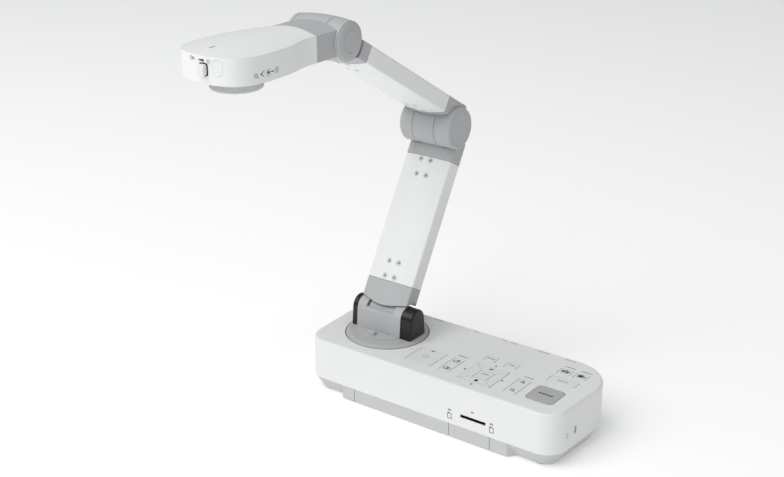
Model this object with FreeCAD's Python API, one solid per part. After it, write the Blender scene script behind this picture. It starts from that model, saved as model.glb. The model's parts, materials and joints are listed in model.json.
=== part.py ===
import FreeCAD, Part
import math
import os

# Document camera: a flat base with keys, a turntable carrying a hinge block, a two-part
# folding arm and a tilting camera head with a turning lens ring and a lamp switch.
# Millimetres. +X is to the right, -Y towards the document, +Z up, the table is z = 0.
# The origin is under the centre of the base.

os.makedirs("parts", exist_ok=True)
V = FreeCAD.Vector

# Base
frontHalfLength = 127.46
rearHalfLength = 132.54
halfDepth = 49.85
frontCornerRadius = 18.3
rearCornerRadius = 36.0
trayBottom = 1.3
rimHeight = 13.2
baseTop = 50.7
wall = 2.5
panelUnderside = baseTop - wall
topEdgeRadius = 2.4
trayTaper = 7.0

# Mouth for a memory card 24 mm wide and 2.1 mm thick
cardLeft, cardRight = 37.95, 62.25
cardBottom, cardTop = 22.75, 24.95
lipWall, lipGap = 0.3, 0.05

# Turntable and hinge block
turnX, turnY = -75.6, 0.4
wellRadius = 38.0
discRadius = 37.1
discTop = 53.1
wellFloorTop = 44.7
wellFloorBottom = 42.2
hingeY, hingeZ = 2.0, 68.6
blockLeft, blockRight = -102.1, -54.7
archRadius = 10.8
leftCapWidth, rightCapWidth = 6.1, 11.6
slotLeft, slotRight = -93.0, -63.8
knuckleRadius = 8.6
hingeShaftRadius = 3.0
runningGap = 0.05

# Arms
armX = -78.4
armHalf = 24.5
lowerLean = -30.0
lowerWhite = (26.6, 143.4)
elbowLocal = (-16.9, 172.7)
elbowRadius = 18.76
elbowKnuckle = (-88.5, -66.0)
elbowFork = (-88.9, -65.6)
elbowRightEnd = -49.1
elbowShaftRadius = 3.5
upperLean = 59.0
upperWhite = (25.3, 155.2)
headHingeLocal = (14.8, 184.2)
screwSpacing = 5.1
lowerScrewRows = (30.5, 44.2, 126.1, 140.3)
upperScrewRows = (29.3, 43.2, 137.7, 151.7)

# Head
neckLeft, neckRight = -106.0, -56.0
neckFront = -113.3
headBottom = 324.4
headShoulder = 344.9
headCrown = 4.4
headWall = 2.0
barrelX = -78.5
barrelLeft, barrelRight = -105.0, -54.0
barrelMiddleRadius = 17.7
barrelEndRadius = 15.7
barrelKnuckle = (-101.0, -68.3)
barrelFork = (-101.4, -67.9)
headShaftRadius = 3.0
lensX, lensY = -87.5, -169.5
lensRingRadius = 20.2
lensBottom = 313.0
knobX, knobZ = -83.6, 335.3
knobTravel = 2.0

# Keys: left, right, front, rear, corner radius
keyTop = 50.9
keyBottom = 46.2
keyGap = 0.45
pushKeys = {
    "power_key": (-31.0, -5.0, -35.0, -7.5, 1.2),
    "menu_key": (24.9, 35.4, 3.0, 13.2, 0.8),
    "escape_key": (46.0, 56.5, 3.0, 13.2, 0.8),
    "focus_key": (88.4, 113.7, -33.5, -7.2, 4.5),
    "freeze_key": (88.0, 113.8, 3.0, 13.5, 0.8),
    "capture_key": (88.0, 99.2, 20.0, 30.2, 0.8),
    "record_key": (103.4, 114.6, 20.0, 30.2, 0.8),
}
rockers = {
    "source_rocker": (3.5, 13.6, -34.5, -7.0, 0.8),
    "zoom_rocker": (69.0, 80.0, -34.5, -7.0, 0.8),
}
pad = (25.0, 57.0, -36.5, -4.5)
enter = (34.8, 48.0, -27.8, -14.6)


def save(name, shape):
    shape.exportStep("parts/" + name + ".step")


def box(x0, x1, y0, y1, z0, z1):
    return Part.makeBox(x1 - x0, y1 - y0, z1 - z0, V(x0, y0, z0))


def post(radius, x, y, z0, z1):
    return Part.makeCylinder(radius, z1 - z0, V(x, y, z0))


def rodX(radius, x0, x1, y, z):
    return Part.makeCylinder(radius, x1 - x0, V(x0, y, z), V(1, 0, 0))


def rodY(radius, y0, y1, x, z):
    return Part.makeCylinder(radius, y1 - y0, V(x, y0, z), V(0, 1, 0))


def joined(shapes):
    whole = shapes[0]
    for shape in shapes[1:]:
        whole = whole.fuse(shape)
    return whole.removeSplitter()


def faceOf(points):
    wire = Part.makePolygon([V(*p) for p in points] + [V(*points[0])])
    return Part.Face(wire)


def prism(points, z0, z1):
    return faceOf([(x, y, z0) for x, y in points]).extrude(V(0, 0, z1 - z0))


# The card's way in from y0 to y1, grown on all four sides
def cardPassage(grow, y0, y1):
    return box(cardLeft - grow, cardRight + grow, y0, y1, cardBottom - grow, cardTop + grow)


def edgesAlong(shape, axis):
    found = []
    for edge in shape.Edges:
        if len(edge.Vertexes) == 2:
            step = edge.Vertexes[1].Point - edge.Vertexes[0].Point
            if step.Length > 0.5 and step.cross(axis).Length < 1e-4 * step.Length:
                found.append(edge)
    return found


def edgesAt(shape, value, axis):
    found = []
    for edge in shape.Edges:
        if all(abs(v.Point.dot(axis) - value) < 1e-3 for v in edge.Vertexes):
            bounds = edge.BoundBox
            spread = V(bounds.XLength, bounds.YLength, bounds.ZLength).dot(axis)
            if spread < 1e-3:
                found.append(edge)
    return found


def roundedBox(x0, x1, y0, y1, z0, z1, radius):
    body = box(x0, x1, y0, y1, z0, z1)
    return body.makeFillet(radius, edgesAlong(body, V(0, 0, 1)))


def placed(shape, lean, y, z):
    turned = shape.copy()
    turned.rotate(V(0, 0, 0), V(1, 0, 0), lean)
    turned.translate(V(0, y, z))
    return turned


# Base ------------------------------------------------------------------------------

def basePlan(inset, z0, z1):
    body = prism([
        (-frontHalfLength + inset, -halfDepth + inset),
        (frontHalfLength - inset, -halfDepth + inset),
        (rearHalfLength - inset, halfDepth - inset),
        (-rearHalfLength + inset, halfDepth - inset),
    ], z0, z1)
    front = [e for e in edgesAlong(body, V(0, 0, 1)) if e.CenterOfMass.y < 0]
    body = body.makeFillet(frontCornerRadius - inset, front)
    rear = [e for e in edgesAlong(body, V(0, 0, 1)) if e.CenterOfMass.x * e.CenterOfMass.y != 0
            and e.CenterOfMass.y > halfDepth - inset - 1]
    return body.makeFillet(rearCornerRadius - inset, rear)


def baseOutline(inset, z):
    solid = basePlan(inset, z, z + 1)
    flat = [f for f in solid.Faces if abs(f.BoundBox.ZMax - z) < 1e-6]
    return flat[0].OuterWire


postSpots = [(-110, -38), (110, -38), (-104, 36), (104, 36)]
boardSpots = [(-38, -30), (90, -30), (-38, 36), (90, 36)]

shell = basePlan(0, rimHeight, baseTop)
shell = shell.makeFillet(topEdgeRadius, edgesAt(shell, baseTop, V(0, 0, 1)))
shell = shell.cut(basePlan(wall, rimHeight - 1, panelUnderside))
well = post(wellRadius + wall, turnX, turnY, wellFloorBottom, panelUnderside + 0.5)
shell = shell.fuse(well)
shell = shell.cut(post(wellRadius, turnX, turnY, wellFloorTop, baseTop + 1))
shell = shell.cut(post(21.0, turnX, turnY, wellFloorBottom - 1, baseTop + 1))
for x, y in postSpots:
    shell = shell.fuse(post(3.0, x, y, 6.0, panelUnderside + 0.5))
    shell = shell.cut(post(1.3, x, y, 5.0, 20.0))
keyBoardSpots = [(18.6, -20), (63, -20), (84.3, -20), (62, 27), (-10, 27)]
for x, y in keyBoardSpots:
    shell = shell.fuse(post(2.2, x, y, 40.0, panelUnderside + 0.5))
for x0, x1, y0, y1, radius in list(pushKeys.values()) + list(rockers.values()):
    hole = roundedBox(x0 - keyGap, x1 + keyGap, y0 - keyGap, y1 + keyGap,
                      panelUnderside - 1, baseTop + 1, radius + keyGap)
    shell = shell.cut(hole)
shell = shell.cut(box(pad[0] - 0.2, pad[1] + 0.2, pad[2] - 0.2, pad[3] + 0.2,
                      panelUnderside - 1, baseTop + 1))
shell = shell.cut(cardPassage(lipWall + lipGap, -halfDepth - 1, -halfDepth + wall + 1))
shell = shell.cut(box(124, 134, -19.6, -16.6, 23.9, 30.8))
shell = shell.cut(box(-40, 92, halfDepth - wall - 1, halfDepth + 1, 17, 41))
save("base_top_shell", shell.removeSplitter())

trayOuter = Part.makeLoft([baseOutline(trayTaper, trayBottom), baseOutline(0, rimHeight)], True)
trayFront = prism([(-96, -38), (-87.7, -halfDepth), (83.8, -halfDepth), (92, -38)],
                  trayBottom, rimHeight)
tray = joined([trayOuter, trayFront])
trayInner = Part.makeLoft([baseOutline(trayTaper + wall, trayBottom + wall),
                           baseOutline(wall, rimHeight)], True)
tray = tray.cut(trayInner)
frontHollow = prism([(-94, -38), (-86, -halfDepth + wall), (82, -halfDepth + wall), (90, -38)],
                    trayBottom + wall, rimHeight + 1)
tray = tray.cut(frontHollow)
for x in (-74.7, 26.0, 67.1):
    tray = tray.cut(box(x - 0.4, x + 0.4, -halfDepth - 1, -halfDepth + 0.6, 0, rimHeight + 1))
for x in (-74.7, 67.1):
    tray = tray.fuse(box(x - 3.5, x + 3.5, -48.6, -43.5, 0, trayBottom + 0.5))
for x, y in postSpots:
    tray = tray.fuse(post(4.4, x, y, trayBottom, 6.0))
    tray = tray.cut(post(3.3, x, y, 6.0, rimHeight + 1))
    tray = tray.cut(post(3.2, x, y, 0, 3.4))
    tray = tray.cut(post(1.8, x, y, 0, 7.0))
for x, y in boardSpots:
    tray = tray.fuse(post(2.8, x, y, trayBottom + 1, 18.3))
save("base_tray", tray.removeSplitter())

feet = [post(4.3, x, y, 0, trayBottom) for x, y in postSpots]
save("rubber_feet", Part.makeCompound(feet))

screws = []
for x, y in postSpots:
    head = post(2.8, x, y, 1.6, 3.4)
    shank = post(1.3, x, y, 3.0, 15.0)
    screws.append(joined([head, shank]))
save("tray_screws", Part.makeCompound(screws))

ballast = box(-98, 98, -33, 38, trayBottom + wall, trayBottom + wall + 6.0)
for x, y in boardSpots:
    ballast = ballast.cut(post(3.4, x, y, 0, 20))
save("steel_base_plate", ballast)

board = box(-44, 95, -43, 43, 18.3, 19.9)
chips = [box(-10, 8, -8, 10, 19.8, 21.6), box(30, 44, 6, 20, 19.8, 21.4),
         box(64, 76, -6, 6, 19.8, 21.2)]
save("main_board", joined([board] + chips))

keyBoard = box(-34, 117, -34, 32.4, 38.4, 40.0)
domes = []
for x0, x1, y0, y1, radius in pushKeys.values():
    domes.append(post(3.0, (x0 + x1) / 2, (y0 + y1) / 2, 39.9, 44.7))
padX, padY = (pad[0] + pad[1]) / 2, (pad[2] + pad[3]) / 2
arrowReach = 11.5
arrowSpots = [(padX - arrowReach, padY), (padX + arrowReach, padY),
              (padX, padY - arrowReach), (padX, padY + arrowReach)]
for x, y in arrowSpots + [((enter[0] + enter[1]) / 2, (enter[2] + enter[3]) / 2)]:
    domes.append(post(2.4, x, y, 39.9, 44.7))
for x0, x1, y0, y1, radius in rockers.values():
    for y in (y0 + 4.5, y1 - 4.5):
        domes.append(post(2.4, (x0 + x1) / 2, y, 39.9, 44.7))
save("key_board", joined([keyBoard] + domes))

socket = box(35.6, 64.6, -47.3, -20, 19.9, 27.4)
socket = socket.fuse(cardPassage(lipWall, -49.4, -47))
socket = socket.cut(cardPassage(0, -50, -23))
save("card_socket", socket)

videoPlaces = (-20.0, 20.0)
usbB, usbA, inletX = 50.0, 66.0, 82.0
panel = box(-40, 92, halfDepth - wall, halfDepth, 17, 41)
for x in videoPlaces:
    panel = panel.cut(box(x - 15.8, x + 15.8, 40, 52, 20.2, 33.2))
panel = panel.cut(box(usbB - 6.4, usbB + 6.4, 40, 52, 19.8, 32.2))
panel = panel.cut(box(usbA - 7.4, usbA + 7.4, 40, 52, 19.8, 27.6))
panel = panel.cut(rodY(5.4, 40, 52, inletX, 26.0))
save("rear_port_panel", panel)

videoSockets = []
for x in videoPlaces:
    flange = box(x - 15.5, x + 15.5, 38, 49.2, 20.5, 33.0)
    stand = box(x - 15.5, x + 15.5, 36, 42, 19.9, 33.0)
    shroud = prism([(-8.4, 0), (8.4, 0), (7.0, 8.2), (-7.0, 8.2)], 0, 5.2)
    shroud.rotate(V(0, 0, 0), V(1, 0, 0), 90)
    shroud.translate(V(x, 54.2, 22.7))
    nuts = [rodY(2.3, 49.0, 52.0, x - 12.4, 26.8), rodY(2.3, 49.0, 52.0, x + 12.4, 26.8)]
    videoSockets.append(joined([flange, stand, shroud] + nuts))
save("video_sockets", Part.makeCompound(videoSockets))

socketB = box(usbB - 6.1, usbB + 6.1, 34, 49.6, 19.9, 31.9)
socketB = socketB.cut(box(usbB - 4.3, usbB + 4.3, 41, 50, 21.9, 29.9))
socketB = socketB.fuse(box(usbB - 2.9, usbB + 2.9, 40.9, 48.8, 24.2, 27.6))
socketA = box(usbA - 7.1, usbA + 7.1, 34, 49.6, 19.9, 27.3)
socketA = socketA.cut(box(usbA - 6.3, usbA + 6.3, 39, 50, 20.8, 26.4))
socketA = socketA.fuse(box(usbA - 5.6, usbA + 5.6, 38.9, 48.8, 23.4, 25.4))
save("usb_sockets", Part.makeCompound([socketB, socketA]))

inlet = joined([rodY(5.1, 38, 49.6, inletX, 26.0), box(inletX - 5, inletX + 5, 36, 46, 19.9, 26.0)])
inlet = inlet.cut(rodY(2.9, 40, 50, inletX, 26.0))
inlet = inlet.fuse(rodY(1.1, 39.9, 48.6, inletX, 26.0))
save("power_inlet", inlet)

endAngle = math.degrees(math.atan2(rearHalfLength - frontHalfLength, 2 * halfDepth))
lockPlate = box(-2.0, -0.02, -7, 7, 20, 35)
lockPlate = lockPlate.cut(box(-3, 1, -1.5, 1.5, 23.9, 30.8))
lockPlate.rotate(V(0, 0, 0), V(0, 0, 1), -endAngle)
slotY = -18.1
lockPlateX = (frontHalfLength - wall) + (slotY + halfDepth) * math.tan(math.radians(endAngle))
lockPlate.translate(V(lockPlateX - 0.06, slotY, 0))
save("security_slot_plate", lockPlate)

bearing = post(33.0, turnX, turnY, wellFloorTop, 46.4).cut(
    post(25.0, turnX, turnY, wellFloorTop - 1, 47))
save("turntable_bearing", bearing)


# Keys ------------------------------------------------------------------------------

def pushKey(x0, x1, y0, y1, radius):
    cap = roundedBox(x0, x1, y0, y1, keyBottom, keyTop, radius)
    cap = cap.makeFillet(0.5, edgesAt(cap, keyTop, V(0, 0, 1)))
    flange = roundedBox(x0 - 1.1, x1 + 1.1, y0 - 1.1, y1 + 1.1, keyBottom, 47.7, radius + 1.1)
    stem = post(1.8, (x0 + x1) / 2, (y0 + y1) / 2, 45.6, keyBottom + 0.5)
    return joined([cap, flange, stem])


for name, spec in pushKeys.items():
    key = pushKey(*spec)
    if name == "power_key":
        key = key.cut(box(-20.0, -16.8, -10.2, -8.8, 49.0, 52.0))
    save(name, key)
save("power_light", box(-20.0, -16.8, -10.2, -8.8, 49.0, 51.0))

for name, (x0, x1, y0, y1, radius) in rockers.items():
    cap = roundedBox(x0, x1, y0, y1, keyBottom, keyTop, radius)
    cap = cap.makeFillet(0.5, edgesAt(cap, keyTop, V(0, 0, 1)))
    flange = roundedBox(x0 - 1.2, x1 + 1.2, y0 - 0.9, y1 + 0.9, keyBottom, 47.1, radius + 0.9)
    pivot = rodX(0.8, x0, x1, (y0 + y1) / 2, keyBottom)
    save(name, joined([cap, flange, pivot]))


def arrowKey(points, lip):
    outline = faceOf([(x, y, keyBottom) for x, y in points]).makeOffset2D(-0.16)
    cap = outline.extrude(V(0, 0, keyTop - keyBottom))
    centre = cap.CenterOfMass
    stem = post(1.8, centre.x, centre.y, 45.6, keyBottom + 0.5)
    return joined([cap, lip, stem])


x0, x1, y0, y1 = pad
e0, e1, f0, f1 = enter
save("up_key", arrowKey([(x0, y1), (x1, y1), (e1, f1), (e0, f1)],
                        box(x0 + 4, x1 - 4, y1 - 2, y1 + 1.2, keyBottom, 47.7)))
save("down_key", arrowKey([(x0, y0), (x1, y0), (e1, f0), (e0, f0)],
                          box(x0 + 4, x1 - 4, y0 - 1.2, y0 + 2, keyBottom, 47.7)))
save("left_key", arrowKey([(x0, y0), (x0, y1), (e0, f1), (e0, f0)],
                          box(x0 - 1.2, x0 + 2, y0 + 4, y1 - 4, keyBottom, 47.7)))
save("right_key", arrowKey([(x1, y0), (x1, y1), (e1, f1), (e1, f0)],
                           box(x1 - 2, x1 + 1.2, y0 + 4, y1 - 4, keyBottom, 47.7)))
enterCap = roundedBox(e0 + 0.3, e1 - 0.3, f0 + 0.3, f1 - 0.3, keyBottom, keyTop, 0.8)
enterStem = post(1.8, (e0 + e1) / 2, (f0 + f1) / 2, 45.6, keyBottom + 0.5)
save("enter_key", joined([enterCap, enterStem]))


# Turntable -------------------------------------------------------------------------

profile = faceOf([(6, 0, 46.7), (discRadius, 0, 46.7), (discRadius, 0, 51.0),
                  (33.5, 0, 52.6), (6, 0, 52.6)])
disc = profile.revolve(V(0, 0, 0), V(0, 0, 1), 360)
disc.translate(V(turnX, turnY, 0))
skirt = post(27.0, -79.0, 2.4, 52.0, discTop).cut(post(6.0, turnX, turnY, 51, 54))
hub = post(20.5, turnX, turnY, 41.4, 47.0).cut(post(6.0, turnX, turnY, 40, 48))
pip = roundedBox(-82.9, -76.1, -19.4, -14.2, 52.3, 56.0, 2.0)
pip = pip.makeFillet(1.1, edgesAt(pip, 56.0, V(0, 0, 1)))
save("turntable_disc", joined([disc, skirt, hub, pip]))

retainer = post(30.0, turnX, turnY, 38.4, 41.4).cut(post(6.0, turnX, turnY, 38, 42))
save("turntable_retainer", retainer)


def archProfile(x0, x1, radius, spread):
    foot = radius + spread
    left = V(x0, hingeY - radius, hingeZ)
    top = V(x0, hingeY, hingeZ + radius)
    right = V(x0, hingeY + radius, hingeZ)
    footLeft = V(x0, hingeY - foot, discTop)
    footRight = V(x0, hingeY + foot, discTop)
    wire = Part.Wire([
        Part.makeLine(footLeft, left), Part.Arc(left, top, right).toShape(),
        Part.makeLine(right, footRight), Part.makeLine(footRight, footLeft)])
    return Part.Face(wire).extrude(V(x1 - x0, 0, 0))


block = archProfile(blockLeft, blockRight, archRadius, 1.1)
block = block.cut(rodX(9.0, slotLeft, slotRight, hingeY, hingeZ))
block = block.cut(box(slotLeft, slotRight, -6.3, 40, hingeZ, hingeZ + 30))
block = block.cut(box(slotLeft, slotRight, hingeY, 40, 60.5, hingeZ + 30))
ledge = box(slotLeft, slotRight, -20, -6.3, hingeZ + 4.4, hingeZ + 12)
block = block.cut(ledge.cut(rodX(9.7, slotLeft - 1, slotRight + 1, hingeY, hingeZ)))
block = block.cut(rodX(hingeShaftRadius + runningGap, blockLeft - 1, blockRight + 1,
                       hingeY, hingeZ))
save("hinge_block", block)

leftCap = archProfile(blockLeft - leftCapWidth, blockLeft, 10.4, 1.3)
leftCap = leftCap.makeFillet(1.4, edgesAt(leftCap, blockLeft - leftCapWidth, V(1, 0, 0)))
save("left_side_cap", leftCap)
rightCap = archProfile(blockRight, blockRight + rightCapWidth, 10.4, 1.3)
rightCap = rightCap.makeFillet(1.8, edgesAt(rightCap, blockRight + rightCapWidth, V(1, 0, 0)))
save("right_side_cap", rightCap)
save("base_hinge_shaft", rodX(hingeShaftRadius, blockLeft, blockRight, hingeY, hingeZ))


# Arms ------------------------------------------------------------------------------

def armBar(z0, z1, flat, corner, apex, inset=0.0):
    # A flat face, two short sides and a slightly crowned face, swept along the arm.
    toFlat = math.copysign(inset, flat - corner)
    a = V(armX - armHalf + inset, flat - toFlat, z0)
    b = V(armX - armHalf + inset, corner + toFlat, z0)
    c = V(armX, apex + toFlat, z0)
    d = V(armX + armHalf - inset, corner + toFlat, z0)
    e = V(armX + armHalf - inset, flat - toFlat, z0)
    wire = Part.Wire([Part.makeLine(a, b), Part.Arc(b, c, d).toShape(),
                      Part.makeLine(d, e), Part.makeLine(e, a)])
    bar = Part.Face(wire).extrude(V(0, 0, z1 - z0))
    if inset:
        return bar
    return bar.makeFillet(1.6, edgesAlong(bar, V(0, 0, 1)))


lowerSection = (7.5, -7.5, -11.3)
upperSection = (22.3, 7.3, 3.5)


def saveLower(name, shape):
    save(name, placed(shape, lowerLean, hingeY, hingeZ))


elbowAt = placed(Part.Vertex(0, elbowLocal[0], elbowLocal[1]), lowerLean, hingeY, hingeZ).Point


def saveUpper(name, shape):
    save(name, placed(shape, upperLean, elbowAt.y, elbowAt.z))


def screwSet(rows, surface, depthSign):
    # Countersunk pairs: the pocket, and the screw that sits in it.
    pockets, screws = [], []
    for z in rows:
        for x in (armX - screwSpacing, armX + screwSpacing):
            start = V(x, surface, z)
            inward = V(0, depthSign, 0)
            pockets.append(Part.makeCylinder(2.3, 1.4, start - inward * 0.4, inward))
            pockets.append(Part.makeCylinder(1.3, 6.0, start, inward))
            head = Part.makeCylinder(2.0, 0.8, start + inward * 0.2, inward)
            shank = Part.makeCylinder(1.2, 5.4, start + inward * 0.6, inward)
            screws.append(joined([head, shank]))
    return pockets, screws


def withPockets(shape, pockets):
    for pocket in pockets:
        shape = shape.cut(pocket)
    return shape


crownDrop = 0.16
lowerPockets, lowerScrews = screwSet(lowerScrewRows, lowerSection[2] + crownDrop, 1)
upperPockets, upperScrews = screwSet(upperScrewRows, upperSection[2] + crownDrop, 1)

lowerTube = armBar(*lowerWhite, *lowerSection)
lowerTube = lowerTube.cut(armBar(lowerWhite[0] - 1, lowerWhite[1] + 1, *lowerSection, inset=2.5))
saveLower("lower_arm_tube", withPockets(lowerTube, lowerPockets))
lowerSpine = box(armX - 9, armX + 9, -8.0, -3.4, lowerWhite[0] + 0.2, lowerWhite[1] - 0.2)
saveLower("lower_arm_spine", withPockets(lowerSpine, lowerPockets))
saveLower("lower_arm_screws", Part.makeCompound(lowerScrews))

lowerCap = armBar(4.0, lowerWhite[0], *lowerSection)
lowerCap = lowerCap.cut(rodX(12.1, armX - 30, armX + 30, 0, 0))
rearRelief = rodX(14.3, armX - 30, armX + 30, 0, 0).common(
    box(armX - 30, armX + 30, 2, 20, -20, 20))
lowerCap = lowerCap.cut(rearRelief)
knuckle = rodX(knuckleRadius, armX - 13, armX + 13, 0, 0)
web = box(armX - 13, armX + 13, -7.0, 7.0, 0, 18)
lowerCap = joined([lowerCap, knuckle, web])
lowerCap = lowerCap.cut(rodX(hingeShaftRadius + runningGap, armX - 30, armX + 30, 0, 0))
saveLower("lower_arm_lower_cap", lowerCap)

elbowY, elbowZ = elbowLocal
upperCap = armBar(lowerWhite[1], elbowZ - 9.0, *lowerSection)
saddle = rodX(19.7, armX - 40, armX + 40, elbowY, elbowZ)
middle = box(elbowKnuckle[0], elbowKnuckle[1], -60, 60, 100, 200)
elbowBarrel = rodX(elbowRadius, elbowKnuckle[0], elbowKnuckle[1], elbowY, elbowZ)
upperCap = joined([upperCap.cut(saddle), upperCap.common(middle), elbowBarrel])
upperCap = upperCap.cut(rodX(elbowShaftRadius + runningGap, armX - 40, armX + 40,
                             elbowY, elbowZ))
saveLower("lower_arm_upper_cap", upperCap)

upperTube = armBar(*upperWhite, *upperSection)
upperTube = upperTube.cut(armBar(upperWhite[0] - 1, upperWhite[1] + 1, *upperSection, inset=2.5))
saveUpper("upper_arm_tube", withPockets(upperTube, upperPockets))
upperSpine = box(armX - 9, armX + 9, 6.8, 11.4, upperWhite[0] + 0.2, upperWhite[1] - 0.2)
saveUpper("upper_arm_spine", withPockets(upperSpine, upperPockets))
saveUpper("upper_arm_screws", Part.makeCompound(upperScrews))

armLeft, armRight = armX - armHalf, armX + armHalf
fork = armBar(0.0, upperWhite[0], *upperSection)
wrap = box(armLeft, armRight, 0, 22.2, -5.8, 1.0).common(
    rodX(22.2, armLeft, armRight, 0, 0))
leftBarrel = rodX(elbowRadius, armLeft, elbowFork[0], 0, 0)
leftBarrel = leftBarrel.makeChamfer(1.6, edgesAt(leftBarrel, armLeft, V(1, 0, 0)))
rightBarrel = rodX(elbowRadius, elbowFork[1], elbowRightEnd, 0, 0)
rightBarrel = rightBarrel.makeFillet(2.6, edgesAt(rightBarrel, elbowRightEnd, V(1, 0, 0)))
fork = joined([fork, wrap, leftBarrel, rightBarrel])
fork = fork.cut(rodX(19.3, elbowFork[0], elbowFork[1], 0, 0))
fork = fork.cut(rodX(elbowShaftRadius + runningGap, armLeft + 3, elbowRightEnd - 3, 0, 0))
fork = fork.cut(rodX(15.2, elbowRightEnd - 0.8, elbowRightEnd + 1, 0, 0))
fork = fork.cut(rodX(14.0, armLeft - 1, armLeft + 0.8, 0, 0))
saveUpper("upper_arm_elbow_cap", fork)
saveUpper("elbow_shaft", rodX(elbowShaftRadius, armLeft + 3, elbowRightEnd - 3, 0, 0))
discRight = rodX(15.1, elbowRightEnd - 0.8, elbowRightEnd, 0, 0)
discLeft = rodX(13.9, armLeft, armLeft + 0.8, 0, 0)
saveUpper("elbow_end_discs", Part.makeCompound([discLeft, discRight]))

headY, headZ = headHingeLocal


def barrelBody(x0, x1, grow=0.0):
    # The head hinge barrel, thickest in the middle, cut to the stretch x0 to x1.
    r0, r1 = barrelEndRadius + grow, barrelMiddleRadius + grow
    a, b = V(barrelX - 26.5, 0, r0), V(barrelX + 26.5, 0, r0)
    wire = Part.Wire([
        Part.makeLine(V(a.x, 0, 0), a), Part.Arc(a, V(barrelX, 0, r1), b).toShape(),
        Part.makeLine(b, V(b.x, 0, 0)), Part.makeLine(V(b.x, 0, 0), V(a.x, 0, 0))])
    whole = Part.Face(wire).revolve(V(0, 0, 0), V(1, 0, 0), 360)
    return whole.common(box(x0, x1, -40, 40, -40, 40))


headCap = armBar(upperWhite[1], headZ - 4.0, *upperSection)
headSaddle = rodX(18.6, armX - 40, armX + 40, headY, headZ)
headMiddle = box(barrelKnuckle[0], barrelKnuckle[1], -60, 60, 100, 220)
headKnuckle = barrelBody(*barrelKnuckle)
headKnuckle.translate(V(0, headY, headZ))
headCap = joined([headCap.cut(headSaddle), headCap.common(headMiddle), headKnuckle])
headCap = headCap.cut(rodX(headShaftRadius + runningGap, armX - 40, armX + 40, headY, headZ))
saveUpper("upper_arm_head_cap", headCap)

headAt = placed(Part.Vertex(0, headY, headZ), upperLean, elbowAt.y, elbowAt.z).Point


# Head ------------------------------------------------------------------------------

def crownedSection(y, left, right, crown, shoulder=8.0):
    middle = (left + right) / 2
    points = [V(right + shoulder, y, headBottom - 4), V(right + shoulder, y, headShoulder),
              V(right, y, headShoulder), V(left, y, headShoulder),
              V(left - shoulder, y, headShoulder), V(left - shoulder, y, headBottom - 4)]
    top = Part.Arc(points[2], V(middle, y, headShoulder + crown), points[3]).toShape()
    return Part.Wire([
        Part.makeLine(points[0], points[1]), Part.makeLine(points[1], points[2]), top,
        Part.makeLine(points[3], points[4]), Part.makeLine(points[4], points[5]),
        Part.makeLine(points[5], points[0])])


neckTop = Part.Face(crownedSection(neckFront, neckLeft, neckRight, headCrown, 0.001))
neck = neckTop.extrude(V(0, headAt.y - neckFront, 0))
neck = neck.common(box(neckLeft, neckRight, neckFront, headAt.y, headBottom, 360))
forkParts = [barrelBody(barrelLeft, barrelFork[0]), barrelBody(barrelFork[1], barrelRight)]
endDome = Part.makeCone(barrelEndRadius - 0.1, 13.9, 1.2, V(barrelRight, 0, 0), V(1, 0, 0)).fuse(
    Part.makeCone(13.9, 9.3, 0.8, V(barrelRight + 1.2, 0, 0), V(1, 0, 0)))
startDome = Part.makeCone(9.3, barrelEndRadius, 1.6, V(barrelLeft - 1.6, 0, 0), V(1, 0, 0))
forkParts = forkParts + [endDome, startDome]
for piece in forkParts:
    piece.translate(V(0, headAt.y, headAt.z))
neck = joined([neck] + forkParts)
neck = neck.cut(rodX(18.3, barrelFork[0], barrelFork[1], headAt.y, headAt.z))
neck = neck.cut(box(-101, -61, neckFront - 1, -98.5, 328.0, 342.0))
neck = neck.cut(rodX(headShaftRadius + runningGap, -104.4, -57, headAt.y, headAt.z))
neck = neck.cut(rodX(9.0, barrelRight + 1.2, barrelRight + 3, headAt.y, headAt.z))
neck = neck.cut(rodX(9.0, barrelLeft - 3, barrelLeft - 0.8, headAt.y, headAt.z))
save("head_neck", neck)
save("head_hinge_shaft", rodX(headShaftRadius, -104.4, -57, headAt.y, headAt.z))
save("head_hinge_discs", Part.makeCompound([
    rodX(8.9, barrelRight + 1.2, barrelRight + 2.1, headAt.y, headAt.z),
    rodX(8.9, barrelLeft - 1.7, barrelLeft - 0.8, headAt.y, headAt.z)]))

headOutline = [
    (-56.0, neckFront), (-56.2, -121.0), (-55.8, -128.2), (-54.2, -137.0), (-52.4, -145.5),
    (-51.4, -155.0), (-51.0, -166.0), (-51.3, -178.0),
    (-53.4, -190.0), (-60.0, -200.0), (-70.5, -205.2), (-86.5, -207.0), (-101.0, -205.3),
    (-112.5, -200.0), (-119.6, -190.0), (-122.0, -176.0), (-121.6, -152.0), (-117.4, -134.5),
    (-110.8, -121.0), (-106.5, neckFront)]


def insetOutline(inset):
    # The outline moved inwards, square to the line through each point's neighbours.
    moved = []
    for i, (x, y) in enumerate(headOutline):
        if i in (0, len(headOutline) - 1):
            side = -1 if i == 0 else 1
            moved.append((x + side * inset, y - inset))
            continue
        before, after = headOutline[i - 1], headOutline[i + 1]
        run = V(after[0] - before[0], after[1] - before[1], 0).normalize()
        moved.append((x + run.y * inset, y - run.x * inset))
    return moved


def headBody(inset, z0, z1):
    points = [V(x, y, z0) for x, y in (insetOutline(inset) if inset else headOutline)]
    curve = Part.BSplineCurve()
    curve.interpolate(points)
    wire = Part.Wire([curve.toShape(), Part.makeLine(points[-1], points[0])])
    return Part.Face(wire).extrude(V(0, 0, z1 - z0))


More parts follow.
